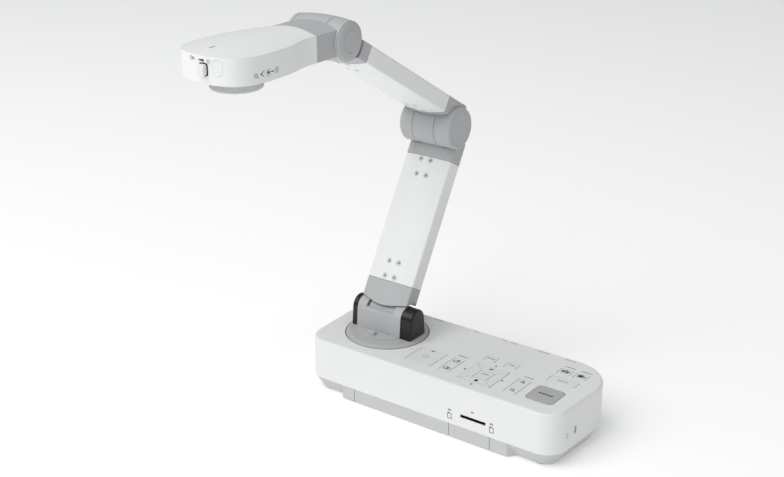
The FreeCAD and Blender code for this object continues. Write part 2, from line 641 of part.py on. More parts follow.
dome = Part.makeLoft([
    crownedSection(neckFront, neckLeft, neckRight, headCrown),
    crownedSection(-135, -117.6, -53.4, headCrown),
    crownedSection(-165, -122, -51, headCrown - 0.2),
    crownedSection(-190, -120, -53, 2.6),
    crownedSection(-207.5, -112, -60, 0.25)], True)
headSolid = headBody(0, headBottom, 352).common(dome)
headShell = headSolid.cut(headBody(headWall, headBottom - 1, headShoulder - headWall))
sensorPosts = [(-108, -140), (-66, -140), (-108, -186), (-66, -186)]
for x, y in sensorPosts:
    headShell = headShell.fuse(post(2.4, x, y, 334.6, headShoulder - 1))
knobStemHalf = 1.1
slotHalf = knobTravel + knobStemHalf + 0.3
slot = box(knobX - slotHalf, knobX + slotHalf, -210, -200, knobZ - 2.2, knobZ + 2.2)
headShell = headShell.cut(slot)
windowX, windowZ, windowStraight = -71.6, 337.4, 2.1


def ovalBar(radius):
    return joined([
        box(windowX - radius, windowX + radius, -210, -200,
            windowZ - windowStraight, windowZ + windowStraight),
        rodY(radius, -210, -200, windowX, windowZ - windowStraight),
        rodY(radius, -210, -200, windowX, windowZ + windowStraight)])


windowPiece = headShell.common(ovalBar(3.85))
headShell = headShell.cut(ovalBar(4.0))
save("head_shell", headShell)
save("front_window", windowPiece)

lampX, lampY0, lampY1 = -87.0, -200.5, -194.0
cover = headBody(headWall + 0.05, headBottom, headBottom + 2.0)
cover = cover.cut(post(lensRingRadius + 0.4, lensX, lensY, headBottom - 1, headBottom + 4))
cover = cover.cut(box(lampX - 7, lampX + 7, lampY0, lampY1, headBottom - 1, headBottom + 4))
for x in (lampX - 10.5, lampX + 10.5):
    cover = cover.fuse(post(1.2, x, (lampY0 + lampY1) / 2, headBottom + 1.5, 329.0))
save("head_bottom_cover", cover)
save("lamp_window", joined([
    box(lampX - 6.95, lampX + 6.95, lampY0 + 0.05, lampY1 - 0.05, headBottom, headBottom + 2.4),
    box(lampX - 7.8, lampX + 7.8, lampY0 - 0.8, lampY1 + 0.8, headBottom + 2.0,
        headBottom + 2.8)]))
lampBoard = box(lampX - 12, lampX + 12, -201.6, -193.2, 329.0, 330.2)
leds = [box(x - 1.5, x + 1.5, -198.7, -195.7, 327.9, 329.1) for x in (lampX - 4, lampX + 4)]
save("lamp_board", joined([lampBoard] + leds))
sensorBoard = box(-112, -62, -191, -136, 333.0, 334.6)
sensor = box(lensX - 5, lensX + 5, lensY - 5, lensY + 5, 332.2, 333.1)
save("sensor_board", joined([sensorBoard, sensor]))

knobFace = -207.4
knobPlate = roundedBox(knobX - 3.2, knobX + 3.2, -4.1, 4.1, 0, 3.6, 1.6)
knobPlate = knobPlate.makeFillet(0.8, edgesAt(knobPlate, 3.6, V(0, 0, 1)))
knobPlate.rotate(V(0, 0, 0), V(1, 0, 0), 90)
knobPlate.translate(V(0, knobFace, knobZ))
knobStem = box(knobX - knobStemHalf, knobX + knobStemHalf, knobFace - 0.2, -201.8,
               knobZ - 1.8, knobZ + 1.8)
knobKeeper = box(knobX - 5, knobX + 5, -202.6, -201.6, knobZ - 2.9, knobZ + 3.2)
save("lamp_switch_knob", joined([knobPlate, knobStem, knobKeeper]))

lensRing = joined([post(lensRingRadius, lensX, lensY, lensBottom, 328.0),
                   post(lensRingRadius + 2, lensX, lensY, 327.2, 329.0)])
lensRing = lensRing.makeFillet(1.6, edgesAt(lensRing, lensBottom, V(0, 0, 1)))
lensRing = lensRing.cut(post(15.0, lensX, lensY, lensBottom - 1, 330))
save("lens_ring", lensRing)
lensBarrel = joined([post(14.8, lensX, lensY, lensBottom + 2.0, 329.5),
                     post(17.5, lensX, lensY, 329.0, 330.4)])
lensBarrel = lensBarrel.cut(post(8.5, lensX, lensY, 310, 331))
lensBarrel = lensBarrel.cut(Part.makeCone(12.6, 8.6, 5.0, V(lensX, lensY, lensBottom + 1.99)))
save("lens_barrel", lensBarrel)
save("lens_glass", post(8.5, lensX, lensY, 320.2, 323.4))
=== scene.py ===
import bpy, bmesh, json, math
from mathutils import Vector, Matrix
from mathutils.bvhtree import BVHTree
from mathutils.geometry import convex_hull_2d


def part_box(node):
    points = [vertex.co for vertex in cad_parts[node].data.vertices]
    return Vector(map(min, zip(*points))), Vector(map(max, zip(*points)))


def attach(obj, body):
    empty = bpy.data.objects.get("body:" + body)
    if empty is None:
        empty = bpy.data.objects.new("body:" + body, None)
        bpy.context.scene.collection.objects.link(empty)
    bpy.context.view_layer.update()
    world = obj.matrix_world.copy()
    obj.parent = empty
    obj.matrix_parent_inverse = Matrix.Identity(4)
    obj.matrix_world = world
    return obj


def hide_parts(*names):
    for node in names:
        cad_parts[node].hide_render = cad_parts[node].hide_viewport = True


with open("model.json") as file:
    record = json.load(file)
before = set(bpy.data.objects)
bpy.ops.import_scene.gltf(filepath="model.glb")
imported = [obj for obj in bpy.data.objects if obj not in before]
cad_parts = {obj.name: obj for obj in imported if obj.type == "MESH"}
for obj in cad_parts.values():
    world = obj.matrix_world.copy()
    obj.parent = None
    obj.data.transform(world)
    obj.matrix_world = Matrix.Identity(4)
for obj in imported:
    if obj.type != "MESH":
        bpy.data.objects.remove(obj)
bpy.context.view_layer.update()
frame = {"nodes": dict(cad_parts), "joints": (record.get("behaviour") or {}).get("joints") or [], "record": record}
nodes = frame["nodes"]
mm = 0.001
pivots = {joint["name"]: Vector(joint["pos_m"]) for joint in frame["joints"] if "pos_m" in joint}
mounts = {mount["name"]: Vector(mount["pos_m"]) for mount in frame["record"]["mounts"]}
print("model loaded:", len(nodes), "pieces")


def middleOf(node):
    low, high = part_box(node)
    return (low + high) / 2


# shader and geometry node tools

def addNode(tree, kind, settings, values):
    node = tree.nodes.new(kind)
    for name, value in settings.items():
        if name == "stops":
            ramp = node.color_ramp.elements
            while len(ramp) < len(value):
                ramp.new(0.5)
            for element, (place, shade) in zip(ramp, value):
                element.position = place
                element.color = (shade, shade, shade, 1)
        else:
            setattr(node, name, value)
    for key, value in values.items():
        socket = node.inputs[key]
        if isinstance(value, Flow):
            tree.links.new(value.socket, socket)
        elif hasattr(value, "is_output"):
            tree.links.new(value, socket)
        else:
            socket.default_value = value
    return node


class Flow:
    # a value in a node tree, so that plain sums can be written on it
    def __init__(self, tree, socket):
        self.tree = tree
        self.socket = socket

    def sum(self, operation, first, second):
        node = addNode(self.tree, "ShaderNodeMath", {"operation": operation}, {0: first, 1: second})
        return Flow(self.tree, node.outputs[0])

    def __add__(self, other):
        return self.sum("ADD", self, other)

    def __radd__(self, other):
        return self.sum("ADD", other, self)

    def __sub__(self, other):
        return self.sum("SUBTRACT", self, other)

    def __rsub__(self, other):
        return self.sum("SUBTRACT", other, self)

    def __mul__(self, other):
        return self.sum("MULTIPLY", self, other)

    def __rmul__(self, other):
        return self.sum("MULTIPLY", other, self)


class Graph:
    def add(self, kind, settings, values, out=0):
        return Flow(self.tree, addNode(self.tree, kind, settings, values).outputs[out])


class Finish(Graph):
    def __init__(self, name, **constants):
        self.material = bpy.data.materials.new(name)
        self.material.use_nodes = True
        self.tree = self.material.node_tree
        self.shader = self.tree.nodes["Principled BSDF"]
        for socket, value in constants.items():
            self.shader.inputs[socket.replace("_", " ")].default_value = value
        self.place = self.add("ShaderNodeTexCoord", {}, {}, "Object")

    def noise(self, scale, detail=2.0, rough=0.5, stretch=None):
        where = self.place
        if stretch:
            where = self.add("ShaderNodeMapping", {}, {"Vector": where, "Scale": stretch})
        return self.add("ShaderNodeTexNoise", {},
                        {"Vector": where, "Scale": scale, "Detail": detail, "Roughness": rough})

    def ramp(self, value, stops):
        return self.add("ShaderNodeValToRGB", {"stops": stops}, {0: value})

    def blend(self, factor, first, second):
        def colour(c):
            return c if isinstance(c, Flow) else (*c, 1)
        return self.add("ShaderNodeMix", {"data_type": "RGBA"},
                        {0: factor, 6: colour(first), 7: colour(second)}, 2)

    def softEdges(self, radius):
        # a rounded normal at the edges, and how far it departs from the flat one
        rounded = self.add("ShaderNodeBevel", {"samples": 4}, {"Radius": radius})
        flat = self.add("ShaderNodeNewGeometry", {}, {}, "Normal")
        agree = self.add("ShaderNodeVectorMath", {"operation": "DOT_PRODUCT"},
                         {0: rounded, 1: flat}, "Value")
        return rounded, self.ramp(1.0 - agree, [(0.0, 0.0), (0.25, 1.0)])

    def bump(self, height, distance, normal=None):
        values = {"Height": height, "Distance": distance}
        if normal:
            values["Normal"] = normal
        return self.add("ShaderNodeBump", {}, values)

    def give(self, **links):
        for socket, value in links.items():
            self.tree.links.new(value.socket, self.shader.inputs[socket.replace("_", " ")])
        return self.material


def shades(colour, amount):
    return tuple(max(0.0, min(1.0, c * (1 + amount))) for c in colour)


# moulded plastics: colour, roughness, grain scale and depth, drift of colour, lift of worn edges
plastics = {
    "casingWhite": ((0.83, 0.835, 0.83), 0.46, 2400, 0.000020, 0.018, 0.10),
    "armWhite": ((0.86, 0.865, 0.865), 0.36, 3200, 0.000008, 0.015, 0.08),
    "jointGrey": ((0.475, 0.48, 0.485), 0.44, 2600, 0.000016, 0.03, 0.16),
    "screwWhite": ((0.70, 0.705, 0.705), 0.42, 2000, 0.000006, 0.02, 0.1),
    "gripGrey": ((0.58, 0.585, 0.585), 0.44, 2600, 0.000012, 0.03, 0.2),
    "trayGrey": ((0.57, 0.575, 0.58), 0.52, 2000, 0.000026, 0.03, 0.14),
    "keyWhite": ((0.80, 0.81, 0.805), 0.40, 3000, 0.000010, 0.015, 0.10),
    "keyGrey": ((0.47, 0.475, 0.475), 0.42, 2400, 0.000014, 0.03, 0.16),
    "capBlack": ((0.004, 0.004, 0.005), 0.26, 3000, 0.000004, 0.10, 0.6),
    "portBlack": ((0.015, 0.015, 0.016), 0.45, 1800, 0.000020, 0.08, 0.5),
    "lensBlack": ((0.010, 0.010, 0.011), 0.50, 2600, 0.000016, 0.05, 0.5),
}


def plastic(name, colour, rough, grain, depth, drift, lift):
    f = Finish(name, IOR=1.48)
    broad = f.noise(14, 3)
    fine = f.noise(grain, 2, 0.6)
    smudge = f.ramp(f.noise(45, 4, 0.6), [(0.45, 0.0), (0.75, 1.0)])
    hairline = f.ramp(f.noise(160, 2, 0.5, (1, 14, 1)), [(0.66, 0.0), (0.74, 1.0)])
    rounded, edge = f.softEdges(0.0005)
    base = f.blend(broad, shades(colour, -drift), shades(colour, drift))
    base = f.blend(smudge * 0.25, base, shades(colour, -2 * drift))
    base = f.blend(edge * lift, base, shades(colour, 0.5))
    shine = rough + (broad - 0.5) * 0.06 + smudge * 0.05 + fine * 0.06 - hairline * 0.04
    height = fine + hairline * -0.15
    return f.give(Base_Color=base, Roughness=shine, Normal=f.bump(height, depth, rounded))


def brushed(name, colour, rough, stretch):
    f = Finish(name, Metallic=1.0)
    lines = f.noise(700, 3, 0.6, stretch)
    stain = f.ramp(f.noise(60, 4, 0.6), [(0.5, 0.0), (0.8, 1.0)])
    rounded, edge = f.softEdges(0.0003)
    base = f.blend(lines, shades(colour, -0.08), shades(colour, 0.08))
    base = f.blend(stain * 0.3, base, shades(colour, -0.25))
    base = f.blend(edge * 0.4, base, shades(colour, 0.3))
    return f.give(Base_Color=base, Roughness=rough + lines * 0.15 + stain * 0.1,
                  Normal=f.bump(lines, 0.00001, rounded))


def rubber(name):
    f = Finish(name, Specular_IOR_Level=0.3)
    pores = f.noise(1600, 4, 0.7)
    dust = f.ramp(f.noise(240, 4, 0.7), [(0.5, 0.0), (0.8, 1.0)])
    base = f.blend(dust * 0.5, (0.50, 0.50, 0.50), (0.58, 0.575, 0.57))
    return f.give(Base_Color=base, Roughness=0.75 + dust * 0.15, Normal=f.bump(pores, 0.00004))


def circuitBoard(name):
    f = Finish(name, Coat_Weight=0.3)
    cells = f.add("ShaderNodeTexVoronoi", {"feature": "DISTANCE_TO_EDGE"},
                  {"Vector": f.place, "Scale": 260.0})
    traces = f.ramp(cells, [(0.05, 1.0), (0.09, 0.0)])
    pads = f.ramp(f.add("ShaderNodeTexVoronoi", {}, {"Vector": f.place, "Scale": 420.0}),
                  [(0.12, 1.0), (0.16, 0.0)])
    base = f.blend(traces, (0.012, 0.11, 0.045), (0.03, 0.2, 0.08))
    base = f.blend(pads, base, (0.55, 0.5, 0.42))
    return f.give(Base_Color=base, Roughness=0.4 - pads * 0.1,
                  Normal=f.bump(traces + pads, 0.00003))


def ink(name, colour, rough):
    f = Finish(name)
    speck = f.noise(900, 3, 0.6)
    base = f.blend(speck, shades(colour, -0.12), shades(colour, 0.12))
    return f.give(Base_Color=base, Roughness=rough + speck * 0.12,
                  Normal=f.bump(speck, 0.000004))


def coatedGlass(name):
    f = Finish(name, IOR=1.52, Coat_Weight=1.0, Coat_Roughness=0.02, Transmission_Weight=0.85,
               Coat_Tint=(0.75, 0.7, 1.0, 1))
    haze = f.noise(120, 3)
    base = f.blend(haze, (0.55, 0.60, 0.72), (0.62, 0.66, 0.76))
    return f.give(Base_Color=base, Roughness=0.02 + haze * 0.03)


def frosted(name, colour):
    f = Finish(name, IOR=1.49, Coat_Weight=0.6, Coat_Roughness=0.08)
    dots = f.noise(1500, 2, 0.5)
    base = f.blend(dots, shades(colour, -0.06), shades(colour, 0.06))
    return f.give(Base_Color=base, Roughness=0.22 + dots * 0.2, Normal=f.bump(dots, 0.00001))


# brushed metals: colour, roughness, stretch of the brushing along x, y and z
metals = {
    "screwSteel": ((0.50, 0.50, 0.51), 0.55, (1, 1, 6)),
    "plateSteel": ((0.50, 0.50, 0.51), 0.34, (12, 1, 1)),
    "plateDark": ((0.06, 0.06, 0.062), 0.42, (1, 8, 1)),
    "hingeSteel": ((0.58, 0.58, 0.59), 0.22, (1, 10, 10)),
    "portSteel": ((0.62, 0.61, 0.59), 0.26, (8, 1, 1)),
    "spineAluminium": ((0.72, 0.72, 0.73), 0.30, (1, 8, 1)),
}
# printing, and the painted shade of seams: colour, roughness
inks = {
    "legendGrey": ((0.045, 0.048, 0.05), 0.5),
    "legendFaint": ((0.16, 0.165, 0.17), 0.5),
    "legendPale": ((0.46, 0.47, 0.47), 0.5),
    "legendCyan": ((0.10, 0.52, 0.58), 0.5),
    "legendDark": ((0.03, 0.03, 0.032), 0.5),
    "seamShade": ((0.14, 0.142, 0.145), 0.6),
}
clears = {"frostedClear": (0.83, 0.835, 0.835), "lightPipe": (0.07, 0.075, 0.08)}

finishes = {name: plastic(name, *look) for name, look in plastics.items()}
finishes.update({name: brushed(name, *look) for name, look in metals.items()})
finishes["footRubber"] = rubber("footRubber")
finishes["boardGreen"] = circuitBoard("boardGreen")
finishes.update({name: ink(name, *look) for name, look in inks.items()})
finishes["lensGlass"] = coatedGlass("lensGlass")
finishes.update({name: frosted(name, colour) for name, colour in clears.items()})
print("finishes ready:", len(finishes))

slotFinish = {
    "casing_white": "casingWhite", "tray_grey": "trayGrey", "joint_grey": "jointGrey",
    "arm_white": "armWhite", "cap_black": "capBlack", "key_white": "keyWhite",
    "key_grey": "keyGrey", "foot_rubber": "footRubber", "screw_steel": "screwSteel",
    "plate_steel": "plateSteel", "plate_dark": "plateDark", "hinge_steel": "hingeSteel",
    "spine_aluminium": "spineAluminium", "board_green": "boardGreen",
    "port_black": "portBlack", "port_steel": "portSteel", "lens_black": "lensBlack",
    "lens_glass": "lensGlass", "window_clear": "frostedClear", "indicator": "lightPipe"}
ownFinish = {"lens_ring": "gripGrey"}  # a node whose finish isn't its slot's
for part in frame["record"]["subparts"]:
    finish = ownFinish.get(part["node"], slotFinish[part["material_slot"]])
    for holder in nodes[part["node"]].material_slots:
        holder.material = finishes[finish]
print("CAD pieces finished")


# mesh tools

def bodyOf(node):
    for body, members in frame["record"]["behaviour"]["bodies"].items():
        if node in members:
            return body


def linkNew(name, data):
    thing = bpy.data.objects.new(name, data)
    bpy.context.scene.collection.objects.link(thing)
    return thing


def makePiece(name, bm, finish, body):
    bmesh.ops.remove_doubles(bm, verts=bm.verts, dist=1e-7)
    bmesh.ops.recalc_face_normals(bm, faces=bm.faces)
    mesh = bpy.data.meshes.new(name)
    bm.to_mesh(mesh)
    bm.free()
    mesh.materials.append(finishes[finish])
    piece = linkNew(name, mesh)
    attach(piece, body)


def onFace(origin, across, up):
    # turns a drawing in millimetres onto a plane in metres, its x along across and its y along up
    across = Vector(across).normalized()
    up = Vector(up).normalized()
    out = across.cross(up)
    turn = Matrix((across, up, out)).transposed().to_4x4()
    return Matrix.Translation(Vector(origin) * mm) @ turn @ Matrix.Scale(mm, 4)


# flat drawings in millimetres, each a list of closed outlines

def bar(x0, y0, x1, y1, width):
    run = Vector((x1 - x0, y1 - y0))
    side = Vector((-run.y, run.x)).normalized() * width / 2
    a, b = Vector((x0, y0)), Vector((x1, y1))
    return [[a - side, b - side, b + side, a + side]]


def dot(x, y, radius):
    steps = 20
    return [[Vector((x + radius * math.cos(2 * math.pi * i / steps),
                     y + radius * math.sin(2 * math.pi * i / steps))) for i in range(steps)]]


def arc(x, y, radius, width, start=0, end=360):
    inner, outer = radius - width / 2, radius + width / 2
    steps = 24
    pieces = []
    for i in range(steps):
        a, b = (math.radians(start + (end - start) * k / steps) for k in (i, i + 1))
        pieces.append([Vector((x + r * math.cos(t), y + r * math.sin(t)))
                       for r, t in ((inner, a), (outer, a), (outer, b), (inner, b))])
    return pieces


def frameBox(x0, y0, x1, y1, width):
    return (bar(x0, y0, x1, y0, width) + bar(x1, y0, x1, y1, width)
            + bar(x1, y1, x0, y1, width) + bar(x0, y1, x0, y0, width))


def outline(*points):
    return [[Vector(p) for p in points]]


def moved(shapes, x, y, turn=0):
    c, s = math.cos(math.radians(turn)), math.sin(math.radians(turn))
    return [[Vector((x + p.x * c - p.y * s, y + p.x * s + p.y * c)) for p in shape]
            for shape in shapes]


def drawing(name, shapes, place, finish, body, thick=0.06):
    bm = bmesh.new()
    sunk = 0.02
    for shape in shapes:
        lower = [bm.verts.new(place @ Vector((p.x, p.y, -sunk))) for p in shape]
        upper = [bm.verts.new(place @ Vector((p.x, p.y, thick))) for p in shape]
        bm.faces.new(upper)
        bm.faces.new(lower[::-1])
        for i in range(len(shape)):
            j = (i + 1) % len(shape)
            bm.faces.new((lower[i], lower[j], upper[j], upper[i]))
    makePiece(name, bm, finish, body)


def sunSign(size, filled=False, rays=8):
    sign = dot(0, 0, size * 0.42) if filled else arc(0, 0, size * 0.42, size * 0.16)
    for i in range(rays):
        sign += moved(bar(size * 0.68, 0, size * 1.0, 0, size * 0.15), 0, 0, 360 * i / rays)
    return sign


def powerSign(size):
    return arc(0, 0, size, size * 0.26, 120, 420) + bar(0, size * 0.25, 0, size * 1.25, size * 0.26)


def lensSign(size, plus):
    sign = arc(0, 0, size * 0.62, size * 0.2) + moved(
        bar(size * 0.7, 0, size * 1.35, 0, size * 0.26), 0, 0, -45)
    sign += bar(-size * 0.32, 0, size * 0.32, 0, size * 0.16)
    if plus:
        sign += bar(0, -size * 0.32, 0, size * 0.32, size * 0.16)
    return sign


def cameraSign(size):
    return (frameBox(-size, -size * 0.62, size, size * 0.55, size * 0.18)
            + arc(0, -size * 0.03, size * 0.32, size * 0.18)
            + bar(-size * 0.4, size * 0.75, size * 0.3, size * 0.75, size * 0.22))


def filmSign(size):
    return (outline((-size, -size * 0.5), (size * 0.35, -size * 0.5), (size * 0.35, size * 0.5),
                    (-size, size * 0.5))
            + outline((size * 0.5, -size * 0.12), (size, -size * 0.5), (size, size * 0.5),
                      (size * 0.5, size * 0.12)))


def triangle(size):
    return outline((-size * 0.6, -size * 0.7), (size * 0.8, 0), (-size * 0.6, size * 0.7))


def labelDashes(length, height=1.05, gap=0.4):
    # a row of small strokes of different lengths that stands in for a printed label
    marks, x, i = [], 0.0, 0
    strokes = (1.4, 0.8, 1.6, 1.1, 0.7)
    while x + strokes[i % len(strokes)] <= length:
        stroke = strokes[i % len(strokes)]
        marks += bar(x, 0, x + stroke, 0, height)
        x += stroke + gap
        i += 1
    return moved(marks, (gap - x) / 2, 0)


def pill(halfWide, halfTall, radius):
    # a rectangle with rounded corners
    points = []
    steps = 6
    for cx, cy, start in ((1, 1, 0), (-1, 1, 90), (-1, -1, 180), (1, -1, 270)):
        for i in range(steps + 1):
            t = math.radians(start + 90 * i / steps)
            points.append(Vector((cx * (halfWide - radius) + radius * math.cos(t),
                                  cy * (halfTall - radius) + radius * math.sin(t))))
    return [points]


# panel and key signs, each laid out in millimetres about the middle of the piece that it names

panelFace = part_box("base_top_shell")[1].z / mm
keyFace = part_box("menu_key")[1].z / mm


def onTop(node, level):
    middle = middleOf(node) / mm
    return onFace((middle.x, middle.y, level), (1, 0, 0), (0, 1, 0))


panelSigns = {
    "arrowMarks": ("enter_key", "legendGrey", moved(triangle(1.7), -19.5, 0.8, 180)
                   + moved(triangle(1.7), 18.0, 1.2) + moved(triangle(1.7), -0.6, 20.4, 90)
                   + moved(triangle(1.8), 0.1, -19.2, -90)),
    "sourceLabel": ("source_rocker", "legendFaint", moved(labelDashes(11.5), -0.35, 18.55)),
    "zoomLabel": ("zoom_rocker", "legendFaint", moved(labelDashes(9.5), 0, 18.35)),
    "captureLabel": ("capture_key", "legendFaint", moved(labelDashes(12.0), -0.2, 9.1)),
    "recordLabel": ("record_key", "legendFaint", moved(labelDashes(11.5), 0.2, 9.1)),
    "portLabels": ("rear_port_panel", "legendFaint", [
        shape for x, length in ((-77, 9), (-36, 6), (-6.5, 5), (4, 8), (34, 13), (61, 10))
        for shape in moved(labelDashes(length, 0.8), x, -2.6)]),
}
for name, (node, finish, shapes) in panelSigns.items():
    drawing(name, shapes, onTop(node, panelFace), finish, "base")

keySigns = {
    "powerSign": ("power_key", "legendCyan", moved(powerSign(2.3), -0.2, 0.05)),
    "sourceUp": ("source_rocker", "legendGrey", moved(
        frameBox(-2.4, -1.9, 1.9, 1.3, 0.6) + bar(0.2, 1.9, 2.9, 1.9, 1.5), -0.05, 7.35)),
    "sourceDown": ("source_rocker", "legendGrey", moved(
        frameBox(-2.2, -1.9, 1.4, 1.9, 0.6) + arc(1.6, 0.2, 1.5, 0.6), -0.05, -7.65)),
    "sunSign": ("up_key", "legendGrey", moved(sunSign(2.6, True), -0.01, 0.47)),
    "dimSign": ("down_key", "legendGrey", moved(
        dot(0, 0, 1.7) + sunSign(2.1, True, 6), 0.29, 0.23)),
    "zoomIn": ("zoom_rocker", "legendGrey", moved(lensSign(2.8, True), -0.2, 8.75)),
    "zoomOut": ("zoom_rocker", "legendGrey", moved(lensSign(2.8, False), 0, -7.85)),
    "menuSign": ("menu_key", "legendFaint", moved(labelDashes(7.6, 1.1), 0.05, 0.5)),
    "escapeSign": ("escape_key", "legendFaint", moved(labelDashes(4.8, 1.1), -0.25, 0.3)),
    "enterSign": ("enter_key", "legendFaint", moved(labelDashes(8.6, 1.1), 0, 2.2)),
    "focusSign": ("focus_key", "legendDark", moved(labelDashes(13.5, 2.0, 0.5), -0.05, 0.75)),
    "freezeSign": ("freeze_key", "legendFaint", moved(labelDashes(9.0, 1.0), 0.1, 0.15)),
    "captureSign": ("capture_key", "legendGrey", moved(
        cameraSign(3.2) + dot(-2.1, -0.2, 1.1) + dot(2.1, -0.2, 1.1), 0, 0.2)),
    "recordSign": ("record_key", "legendGrey", moved(
        filmSign(3.4) + dot(-1.6, 2.3, 0.9) + dot(0.6, 2.3, 0.9), 0, -0.1)),
}

# thin webs between the arrow keys, from the corners of their pad to those of the enter key
web = {"left": -16.4, "right": 15.6, "low": -15.3, "high": 16.7, "inner": 6.6,
       "width": 0.22, "foot": 47.5, "below": 0.35}
webs = [shape for y, sideY in ((web["low"], -1), (web["high"], 1))
        for x, sideX in ((web["left"], -1), (web["right"], 1))
        for shape in bar(x, y, sideX * web["inner"], sideY * web["inner"], web["width"])]
drawing("arrowWebs", webs, onTop("enter_key", web["foot"]), "keyWhite", "base",
        keyFace - web["foot"] - web["below"])
for name, (key, finish, shapes) in keySigns.items():
    drawing(name, shapes, onTop(key, keyFace), finish, bodyOf(key))

# signs beside the card slot, laid out about its mouth
slot = mounts["card_slot"] / mm
slotPlace = onFace((slot.x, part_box("base_top_shell")[0].y / mm, slot.z), (1, 0, 0), (0, 0, 1))
slotSigns = moved(labelDashes(3.4, 1.2, 0.4), -0.5, 6.75)
for x in (-23.4, 18.4):
    slotSigns += moved(frameBox(-1.9, -2.5, 1.9, 2.0, 0.55) + bar(-1.9, 2.9, 0.4, 2.9, 0.6), x, -3.25)
    slotSigns += moved(labelDashes(3.6, 1.4, 0.5), x, 2.15)
drawing("slotSigns", slotSigns, slotPlace, "legendGrey", "base")


def placeOn(node, point, right, up, x=0, y=0):
    # the plane that touches a node x along right and y along up from a point, seen from outside
    right, up = Vector(right), Vector(up)
    out = right.cross(up)
    start = point + (right * x + up * y + out * 100) * mm
    skin = BVHTree.FromObject(nodes[node], bpy.context.evaluated_depsgraph_get())
    hit, normal = skin.ray_cast(start, -out)[:2]
    across = up.cross(normal)
    return onFace(hit / mm, across, normal.cross(across))


# each side of the head: the point that its marks are laid out about, its right and its up
knob, lensAxis = middleOf("lamp_switch_knob"), pivots["lens_turn"]
sideEdge = Vector((lensAxis.x, lensAxis.y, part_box("head_shell")[0].z))
headSides = {"front": (knob, (1, 0, 0), (0, 0, 1)), "side": (sideEdge, (0, 1, 0), (0, 0, 1)),
             "top": (lensAxis, (1, 0, 0), (0, 1, 0))}
headMarks = {
    "lampOffMark": ("front", -11.0, 6.8, "legendFaint",
                    arc(-1.2, 0, 1.15, 0.55) + bar(0.6, -1.2, 0.6, 1.2, 0.5)
                    + bar(1.7, -1.2, 1.7, 1.2, 0.5)),
    "lampWedge": ("front", -2.2, 6.6, "legendDark",
                  outline((-2.9, -0.25), (2.6, -0.95), (2.6, 0.95), (-2.9, 0.25))),
    "lampDots": ("front", -1.6, 5.25, "legendFaint", dot(-1.7, 0.1, 0.35) + dot(1.9, -0.1, 0.4)),
    "lampOnMark": ("front", 4.6, 6.3, "legendFaint", sunSign(2.1)),
    "topTick": ("top", -2.5, -21.1, "legendDark", bar(-0.4, -2.7, 0.4, 2.7, 0.9)),
    "lensMark": ("side", -16.8, 6.6, "legendFaint", lensSign(2.2, False)),
    "rayMark": ("side", -10.5, 6.8, "legendFaint",
                bar(-1.8, 0, 1.2, 2.1, 0.6) + bar(-1.8, 0, 1.2, -2.1, 0.6) + dot(-1.5, 0, 0.8)),
    "burstMark": ("side", -4.8, 6.7, "legendGrey",
                  sunSign(2.9, True, 8) + bar(3.2, 0, 5.2, 0, 0.9)),
    "lightMark": ("side", 4.2, 7.0, "legendFaint", sunSign(2.8)),
}
for name, (side, x, y, finish, shapes) in headMarks.items():
    place = placeOn("head_shell", *headSides[side], x, y)
    drawing(name, shapes, place, finish, "camera_head")

# a dark plate round the lamp switch, painted shade of the pocket that the switch sits in, found beside the
# switch's own slot and moved back over it
switchShade = {"beside": 4.6, "rise": 0.1, "halfWide": 3.9, "halfTall": 4.9, "corner": 1.9}
place = placeOn("head_shell", *headSides["front"], switchShade["beside"])
place.translation += place.to_3x3() @ Vector((-switchShade["beside"], 0, switchShade["rise"]))
drawing("switchShadePlate", pill(switchShade["halfWide"], switchShade["halfTall"], switchShade["corner"]), place,
        "capBlack", "camera_head")

place = placeOn("base_top_shell", mounts["security_slot"], (0, 1, 0), (0, 0, 1), -12.4, 0.1)
drawing("securityMark", frameBox(-1.2, -2.6, 1.2, 0.2, 0.45) + arc(0, 0.6, 0.9, 0.4, 0, 180),
        place, "legendPale", "base")
discPlace = onFace(pivots["turntable_turn"] / mm, (1, 0, 0), (0, 1, 0))
# three small dark dots on the disc at the front foot of the hinge block: painted shade where the block meets the
# disc
blockFootShade = dot(-14.3, -10.0, 0.5) + dot(7.8, -10.3, 0.6) + dot(9.2, -10.6, 0.3)
drawing("blockFootShade", blockFootShade, discPlace, "legendGrey", "turntable")
print("legends printed")


# what repeats: screws, grip ribs and socket contacts, each from a geometry node tree

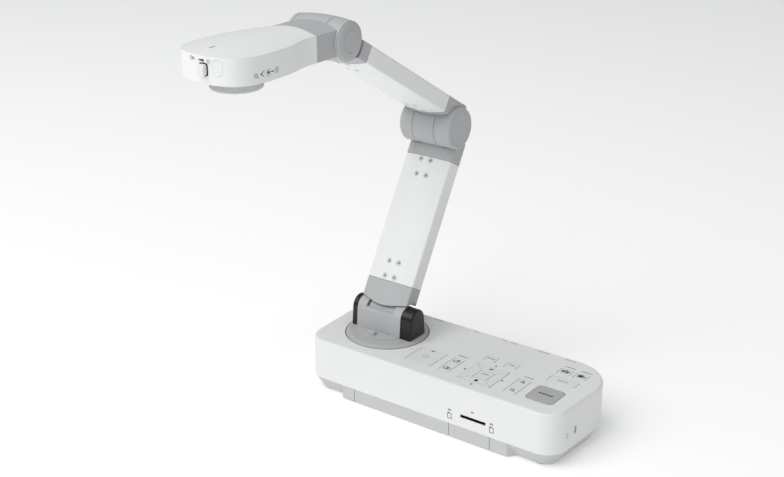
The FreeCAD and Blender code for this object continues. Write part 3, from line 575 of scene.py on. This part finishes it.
class Rule(Graph):
    def __init__(self, name, points, sizes):
        self.tree = bpy.data.node_groups.new(name, "GeometryNodeTree")
        self.face = self.tree.interface
        self.face.new_socket("Shape", in_out="OUTPUT", socket_type="NodeSocketGeometry")
        self.face.new_socket("Start", in_out="INPUT", socket_type="NodeSocketGeometry")
        self.name, self.points, self.sizes = name, points, sizes
        self.keys = {}
        for label, value in sizes.items():
            kind = "NodeSocketInt" if isinstance(value, int) else "NodeSocketFloat"
            self.keys[label] = self.face.new_socket(label, in_out="INPUT", socket_type=kind)
        self.source = self.tree.nodes.new("NodeGroupInput")

    def given(self, label):
        return Flow(self.tree, self.source.outputs[label])

    def several(self, kind, socket, shapes, settings):
        node = addNode(self.tree, kind, settings, {})
        for shape in shapes:
            self.tree.links.new(shape.socket, node.inputs[socket])
        return node

    def together(self, *shapes):
        return Flow(self.tree, self.several("GeometryNodeJoinGeometry", 0, shapes, {}).outputs[0])

    def minus(self, whole, *cuts):
        node = self.several("GeometryNodeMeshBoolean", "Mesh 2", cuts, {"operation": "DIFFERENCE"})
        self.tree.links.new(whole.socket, node.inputs["Mesh 1"])
        return Flow(self.tree, node.outputs[0])

    def lifted(self, shape, height):
        offset = self.add("ShaderNodeCombineXYZ", {}, {"Z": height})
        return self.add("GeometryNodeTransform", {}, {"Geometry": shape, "Translation": offset})

    def block(self, x, y, z):
        size = self.add("ShaderNodeCombineXYZ", {}, {"X": x, "Y": y, "Z": z})
        return self.add("GeometryNodeMeshCube", {}, {"Size": size})

    def repeat(self, points, shape, turn):
        return self.add("GeometryNodeInstanceOnPoints", {},
                        {"Points": points, "Instance": shape, "Rotation": turn})

    def make(self, shape, place, finish, body, slot, smooth):
        solid = self.add("GeometryNodeRealizeInstances", {}, {0: shape})
        painted = self.add("GeometryNodeSetMaterial", {},
                           {"Geometry": solid, "Material": finishes[finish]})
        end = self.tree.nodes.new("NodeGroupOutput")
        self.tree.links.new(painted.socket, end.inputs[0])
        start = bpy.data.meshes.new(self.name)
        start.from_pydata(self.points, [], [])
        holder = linkNew(self.name, start)
        rule = holder.modifiers.new("rule", "NODES")
        rule.node_group = self.tree
        for label, value in self.sizes.items():
            rule[self.keys[label].identifier] = value
        ready = holder.evaluated_get(bpy.context.evaluated_depsgraph_get())
        mesh = bpy.data.meshes.new_from_object(ready)
        bpy.data.objects.remove(holder)
        mesh.transform(place)
        mesh.polygons.foreach_set("use_smooth", [True] * len(mesh.polygons))
        mesh.set_sharp_from_angle(angle=math.radians(smooth))
        piece = linkNew(self.name, mesh)
        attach(piece, body)
        return piece


# each arm's slant, and along it the screwed face, the rows of screws and the ends of the tube
arms = {
    "lower_arm": {"pivot": "arm_raise", "lean": -30, "face": -11.14,
                  "rows": (30.5, 44.2, 126.1, 140.3), "ends": (26.6, 143.4)},
    "upper_arm": {"pivot": "elbow_fold", "lean": 59, "face": 3.66,
                  "rows": (29.3, 43.2, 137.7, 151.7), "ends": (25.3, 155.2)},
}
screw = {"spread": 5.1, "sunk": 0.15,
         "sizes": {"Head": 2.2 * mm, "Height": 0.8 * mm, "Bar": 0.6 * mm, "Reach": 2.1 * mm,
                   "Shank": 1.2 * mm, "Length": 5.2 * mm, "Sides": 28}}


def armPlace(arm):
    # an arm's own axes: z along the arm from its joint, x as in the whole model
    turn = Matrix.Rotation(math.radians(arm["lean"]), 4, "X")
    return Matrix.Translation(pivots[arm["pivot"]] * Vector((0, 1, 1))) @ turn


def screwHeads(arm, body):
    middle = pivots[arm["pivot"]].x / mm
    spots = [Vector((middle + side * screw["spread"], arm["face"] + screw["sunk"], z)) * mm
             for z in arm["rows"] for side in (-1, 1)]
    outward = (math.pi / 2, 0, 0)
    rule = Rule(body + "Screws", spots, screw["sizes"])
    reach, height, width = rule.given("Reach"), rule.given("Height"), rule.given("Bar")
    head = rule.add("GeometryNodeMeshCone", {}, {
        "Vertices": rule.given("Sides"), "Radius Top": rule.given("Head") * 0.9,
        "Radius Bottom": rule.given("Head"), "Depth": height})
    head = rule.lifted(head, height * -1)
    head = rule.minus(head, rule.block(reach, width, height), rule.block(width, reach, height))
    shank = rule.add("GeometryNodeMeshCylinder", {}, {
        "Vertices": rule.given("Sides"), "Radius": rule.given("Shank"), "Depth": rule.given("Length")})
    shank = rule.lifted(shank, rule.given("Length") * -0.5 - height * 0.9)
    whole = rule.repeat(rule.given("Start"), rule.together(head, shank), outward)
    piece = rule.make(whole, armPlace(arm), "screwWhite", body, "screw_steel", 30)
    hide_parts(body + "_screws")
    # black crosses sunk in the screw heads: painted shade of their cross recesses
    crossShade = Rule(body + "Recess", spots, screw["sizes"])
    # the two bars differ a little, so that none of their faces coincide
    reach, height, width = crossShade.given("Reach"), crossShade.given("Height"), crossShade.given("Bar")
    cross = crossShade.together(crossShade.block(reach * 0.99, width * 0.99, height * 0.3),
                           crossShade.block(width * 0.98, reach * 0.98, height * 0.31))
    whole = crossShade.repeat(crossShade.given("Start"), crossShade.lifted(cross, height * -0.32), outward)
    crossShade.make(whole, armPlace(arm), "capBlack", body, "cap_black", 30)


def armSeamShade(arm, body, end):
    # a thin dark line where the painted tube meets its grey cap, on the tube's own outline: painted shade of the
    # gap between them
    inner, outer, half, near = -0.2, 0.05, 0.16, 0.01
    place = armPlace(arm)
    inverse = place.inverted()
    level = arm["ends"][end] * mm
    rim = [inverse @ v.co for v in nodes[body + "_tube"].data.vertices]
    flat = [(p.x, p.y) for p in rim if abs(p.z - level) < near * mm]
    loop = [Vector(flat[i]) for i in convex_hull_2d(flat)]
    count = len(loop)
    layers = []
    for grow, rise in ((inner, -half), (outer, -half), (outer, half), (inner, half)):
        ring = []
        for i, p in enumerate(loop):
            run = (loop[(i + 1) % count] - loop[i - 1]).normalized()
            away = Vector((run.y, -run.x)) * grow * mm
            ring.append(Vector((p.x + away.x, p.y + away.y, level + rise * mm)))
        layers.append(ring)
    bm = bmesh.new()
    rows = [[bm.verts.new(place @ p) for p in ring] for ring in layers]
    for k in range(4):
        for i in range(count):
            j, m = (i + 1) % count, (k + 1) % 4
            bm.faces.new((rows[k][i], rows[k][j], rows[m][j], rows[m][i]))
    makePiece(body + ("SeamHigh" if end else "SeamLow"), bm, "seamShade", body)


for body, arm in arms.items():
    screwHeads(arm, body)
    for end in (0, 1):
        armSeamShade(arm, body, end)

grip = {"ribs": 96, "radius": 20.12, "rib": 0.42, "aboveRim": 1.7, "belowHead": 0.4}
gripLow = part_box("lens_ring")[0].z + grip["aboveRim"] * mm
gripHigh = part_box("head_shell")[0].z - grip["belowHead"] * mm
ribs = Rule("lensRibs", [], {"Ribs": grip["ribs"], "Radius": grip["radius"] * mm,
                             "Rib": grip["rib"] * mm, "Height": gripHigh - gripLow})
circle = ribs.add("GeometryNodeMeshCircle", {}, {"Vertices": ribs.given("Ribs"),
                                                 "Radius": ribs.given("Radius")})
rib = ribs.add("GeometryNodeMeshCylinder", {}, {"Vertices": 8, "Radius": ribs.given("Rib"),
                                                "Depth": ribs.given("Height")})
outward = ribs.add("FunctionNodeAlignRotationToVector", {"axis": "X", "pivot_axis": "Z"},
                   {"Vector": ribs.add("GeometryNodeInputPosition", {}, {})})
ringMiddle = middleOf("lens_ring")
ribs.make(ribs.repeat(circle, rib, outward),
          Matrix.Translation((ringMiddle.x, ringMiddle.y, (gripLow + gripHigh) / 2)),
          "gripGrey", "lens_unit", "joint_grey", 60)

contact = {"across": 5, "up": 3, "pitch": 2.3, "rise": 2.0, "radius": 0.48, "depth": 0.3}
for side in ("Left", "Right"):
    pins = Rule("videoContacts" + side, [], {
        "Across": contact["across"], "Up": contact["up"], "Radius": contact["radius"] * mm,
        "Depth": contact["depth"] * mm, "Wide": contact["pitch"] * (contact["across"] - 1) * mm,
        "Tall": contact["rise"] * (contact["up"] - 1) * mm})
    grid = pins.add("GeometryNodeMeshGrid", {}, {
        "Size X": pins.given("Wide"), "Size Y": pins.given("Tall"),
        "Vertices X": pins.given("Across"), "Vertices Y": pins.given("Up")})
    pin = pins.add("GeometryNodeMeshCylinder", {}, {"Vertices": 12, "Radius": pins.given("Radius"),
                                                    "Depth": pins.given("Depth")})
    place = Matrix.Translation(mounts["video_port_" + side.lower()])
    pins.make(pins.repeat(grid, pin, (0, 0, 0)), place @ Matrix.Rotation(-math.pi / 2, 4, "X"),
              "portBlack", "base", "port_black", 30)
print("screws, ribs and contacts made")


# camera, floor and light

stageLook = {"place": (0.5995, -0.9019, 0.5915), "turn": 36.549, "down": 21.833, "roll": 0.095,
             "lens": 63.69, "sky": 0.37, "floor": 0.93, "floorGlow": 0.22, "floorHalf": 8}
softKey = {"place": (-0.50, -1.60, 2.45), "aim": (0, 0, 0.15), "size": 2.8, "power": 64}

lens = bpy.data.cameras.new("viewCamera")
lens.lens = stageLook["lens"]
lens.sensor_width = 36.0
lens.clip_end = 50
viewer = linkNew("viewCamera", lens)
viewer.location = stageLook["place"]
viewer.rotation_euler = [math.radians(a) for a in
                         (90 - stageLook["down"], stageLook["roll"], stageLook["turn"])]
bpy.context.scene.camera = viewer
bpy.context.scene.view_settings.view_transform = "Standard"

floorMesh = bpy.data.meshes.new("floor")
half = stageLook["floorHalf"]
floorMesh.from_pydata([(-half, -half, 0), (half, -half, 0), (half, half, 0), (-half, half, 0)], [],
                      [(0, 1, 2, 3)])
floor = linkNew("floor", floorMesh)
paper = Finish("floorPaper", Emission_Strength=stageLook["floorGlow"], Emission_Color=(1, 1, 1, 1))
fibre = paper.noise(60, 4)
shade, drift = stageLook["floor"], 0.01
floorMesh.materials.append(paper.give(
    Base_Color=paper.blend(fibre, (shade,) * 3, (shade + drift,) * 3),
    Roughness=0.75 + fibre * 0.1))

room = bpy.data.worlds.new("room")
bpy.context.scene.world = room
room.use_nodes = True
sky = room.node_tree.nodes["Background"]
sky.inputs["Color"].default_value = (0.97, 0.985, 1.0, 1)
sky.inputs["Strength"].default_value = stageLook["sky"]
light = bpy.data.lights.new("softKey", "AREA")
light.energy = softKey["power"]
light.size = softKey["size"]
lamp = linkNew("softKey", light)
lamp.location = softKey["place"]
towards = Vector(softKey["aim"]) - Vector(softKey["place"])
lamp.rotation_euler = towards.to_track_quat("-Z", "Y").to_euler()
print("stage set")
